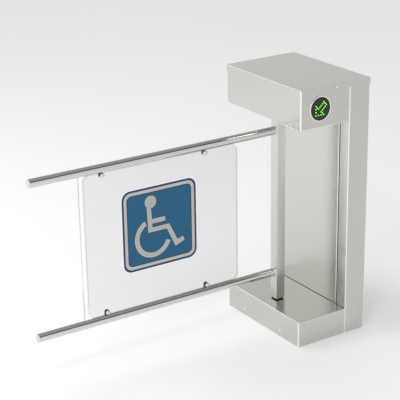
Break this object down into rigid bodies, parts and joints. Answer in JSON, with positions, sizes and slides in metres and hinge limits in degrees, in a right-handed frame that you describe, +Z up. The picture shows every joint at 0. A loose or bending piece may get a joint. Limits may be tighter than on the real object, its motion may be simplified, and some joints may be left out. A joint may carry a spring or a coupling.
{
  "type": "motorised swing gate",
  "caption": "Motorised swing gate for a wide or wheelchair passage: C-shaped steel cabinet, square swing post, round tubes and a clear panel with an access sign.",
  "frame": {"origin": "on the wing's swing axis at floor level, on the base plate's underside", "axes": "+Z up along the swing axis, -X along the closed wing, +X towards the column, -Y towards the indicator face seen from the entrance"},
  "size_m": [1.278, 0.473, 1],
  "materials": {
    "cabinet_steel": "fine brushed stainless sheet",
    "polished_steel": "polished stainless",
    "machined_steel": "turned and milled steel",
    "dark_paint": "matt dark powder coat",
    "grey_paint": "satin grey powder coat",
    "black_plastic": "moulded black plastic",
    "black_rubber": "matt black rubber",
    "lens_dark": "smoked lens over a dot lamp array",
    "circuit_board": "green solder mask",
    "terminal_plastic": "light grey moulding",
    "clear_panel": "clear polycarbonate with polished edges",
    "sign_face": "printed blue sign film"
  },
  "bodies": {
    "cabinet": {"head_housing": "cabinet_steel", "base_cover": "cabinet_steel", "column_front_casing": "cabinet_steel", "column_rear_casing": "cabinet_steel", "column_door": "cabinet_steel", "column_outer_panel": "cabinet_steel", "lid": "cabinet_steel", "lid_screw_front": "polished_steel", "lid_screw_rear": "polished_steel", "base_screw_front": "polished_steel", "base_screw_rear": "polished_steel", "indicator_bezel_front": "polished_steel", "indicator_bezel_rear": "polished_steel", "indicator_lens_front": "lens_dark", "indicator_lens_rear": "lens_dark", "indicator_board_front": "circuit_board", "indicator_board_rear": "circuit_board", "base_plate": "grey_paint", "frame_upright_front": "dark_paint", "frame_upright_rear": "dark_paint", "lower_bearing_pedestal": "machined_steel", "lower_bearing": "machined_steel", "cable_grommet": "black_rubber", "drive_plate": "grey_paint", "upper_bearing_housing": "machined_steel", "upper_bearing": "machined_steel", "gearbox": "grey_paint", "drive_motor": "dark_paint", "stop_buffer_front": "black_rubber", "stop_buffer_rear": "black_rubber", "electronics_tray": "grey_paint", "controller_board": "circuit_board", "terminal_block": "terminal_plastic", "power_supply": "grey_paint"},
    "wing": {"wing_post": "cabinet_steel", "post_bottom_plug": "black_plastic", "lower_spindle": "machined_steel", "upper_spindle": "machined_steel", "stop_arm": "machined_steel", "driven_gear": "machined_steel", "upper_tube": "polished_steel", "upper_tube_cap": "polished_steel", "lower_tube": "polished_steel", "lower_tube_cap": "polished_steel", "clear_panel": "clear_panel", "sign_plate": "sign_face", "tie_rod": "polished_steel", "panel_tab_1": "cabinet_steel", "panel_tab_2": "cabinet_steel", "panel_tab_3": "cabinet_steel", "panel_tab_4": "cabinet_steel", "panel_button_1": "polished_steel", "panel_button_2": "polished_steel", "panel_button_3": "polished_steel", "panel_button_4": "polished_steel"},
    "pinion": {"pinion_shaft": "machined_steel", "drive_pinion": "machined_steel"}
  },
  "joints": [
    {"name": "wing_swing", "type": "hinge", "parent": "cabinet", "child": "wing", "pos_m": [0, 0, 0.5], "axis": [0, 0, 1], "range_deg": [-90, 90]},
    {"name": "pinion_spin", "type": "hinge", "parent": "cabinet", "child": "pinion", "pos_m": [0.08, 0, 0.92], "axis": [0, 0, 1], "range_deg": [-270, 270]}
  ],
  "couplings": [
    {"joint": "pinion_spin", "follows": "wing_swing", "ratio": -3}
  ]
}
